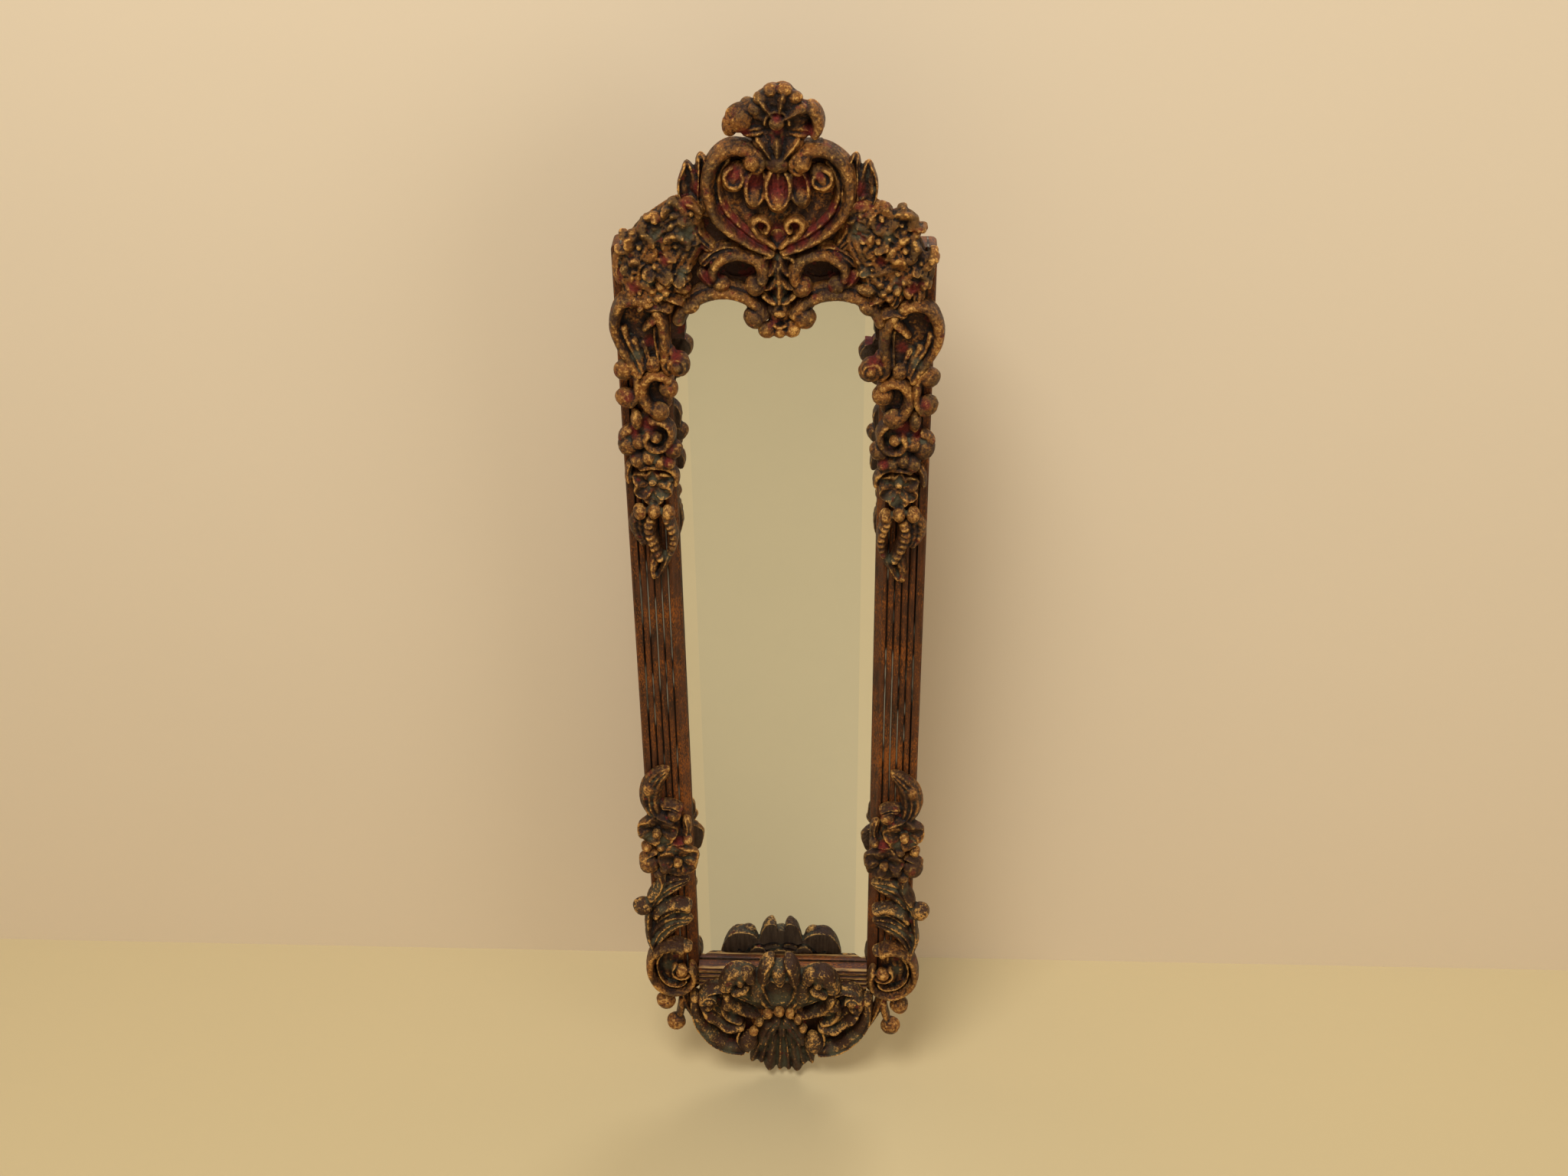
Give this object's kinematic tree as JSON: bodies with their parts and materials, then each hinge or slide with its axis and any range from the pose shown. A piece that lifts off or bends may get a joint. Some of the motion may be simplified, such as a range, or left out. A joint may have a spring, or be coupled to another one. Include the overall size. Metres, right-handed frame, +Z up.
{
  "type": "pier mirror",
  "caption": "Tall narrow wall mirror with reeded gilded frame, heart crest with plume, flower and scroll ornament, shell foot and two hanging rings.",
  "frame": {"origin": "centre line of the frame on the flat back face of the top rail", "axes": "+X to the viewer's right along the wall, +Y from the room into the wall (the glass faces -Y), +Z up"},
  "size_m": [0.2702, 0.0591, 1.0022],
  "materials": {
    "patinated_wood": "satin",
    "gilding": "satin",
    "red_bole": "matte",
    "verdigris_gilt": "satin",
    "mirror_glass": "polished",
    "bare_wood": "matte",
    "backing_board": "matte",
    "plated_steel": "satin"
  },
  "bodies": {
    "frame": {"stile_left": "patinated_wood", "stile_right": "patinated_wood", "top_rail": "red_bole", "bottom_rail": "patinated_wood", "mirror_glass": "mirror_glass", "backing_board": "backing_board", "retainer_top": "bare_wood", "retainer_bottom": "bare_wood", "retainer_left": "bare_wood", "retainer_right": "bare_wood", "hanger_strap_left": "plated_steel", "hanger_screw_left": "plated_steel", "hanger_strap_right": "plated_steel", "hanger_screw_right": "plated_steel", "crest_board": "patinated_wood", "heart_panel": "red_bole", "heart_scroll_left": "gilding", "heart_scroll_right": "gilding", "heart_palmette": "red_bole", "heart_horns": "gilding", "plume_finial": "gilding", "crest_leaf_left": "verdigris_gilt", "crest_leaf_right": "verdigris_gilt", "flower_spray_left": "gilding", "flower_spray_right": "gilding", "arch_scroll_left": "gilding", "arch_scroll_right": "gilding", "centre_clasp": "verdigris_gilt", "arch_pendant": "gilding", "arch_bead_left": "gilding", "arch_bead_right": "gilding", "husk_left": "patinated_wood", "husk_right": "patinated_wood", "inner_stem_left": "gilding", "inner_stem_right": "gilding", "outer_curl_left": "gilding", "outer_curl_right": "gilding", "inner_curl_left": "gilding", "inner_curl_right": "gilding", "stile_drop_left": "verdigris_gilt", "stile_drop_right": "verdigris_gilt", "garland_left": "verdigris_gilt", "garland_right": "verdigris_gilt", "twisted_leaf_left": "patinated_wood", "twisted_leaf_right": "patinated_wood", "side_scroll_left": "gilding", "side_scroll_right": "gilding", "corner_volute_left": "gilding", "corner_volute_right": "gilding", "foot_board": "patinated_wood", "swag_left": "verdigris_gilt", "swag_right": "verdigris_gilt", "ruffled_leaf_left": "gilding", "ruffled_leaf_right": "gilding", "shell": "gilding", "berries": "gilding", "tail_leaf": "patinated_wood"},
    "ring_left": {"hanger_ring_left": "plated_steel"},
    "ring_right": {"hanger_ring_right": "plated_steel"}
  },
  "joints": [
    {"name": "ring_left_swing", "type": "hinge", "parent": "frame", "child": "ring_left", "pos_m": [-0.1, 0.0033, -0.1], "axis": [1, 0, 0], "range_deg": [0, 180]},
    {"name": "ring_right_swing", "type": "hinge", "parent": "frame", "child": "ring_right", "pos_m": [0.1, 0.0033, -0.1], "axis": [1, 0, 0], "range_deg": [0, 180]}
  ]
}
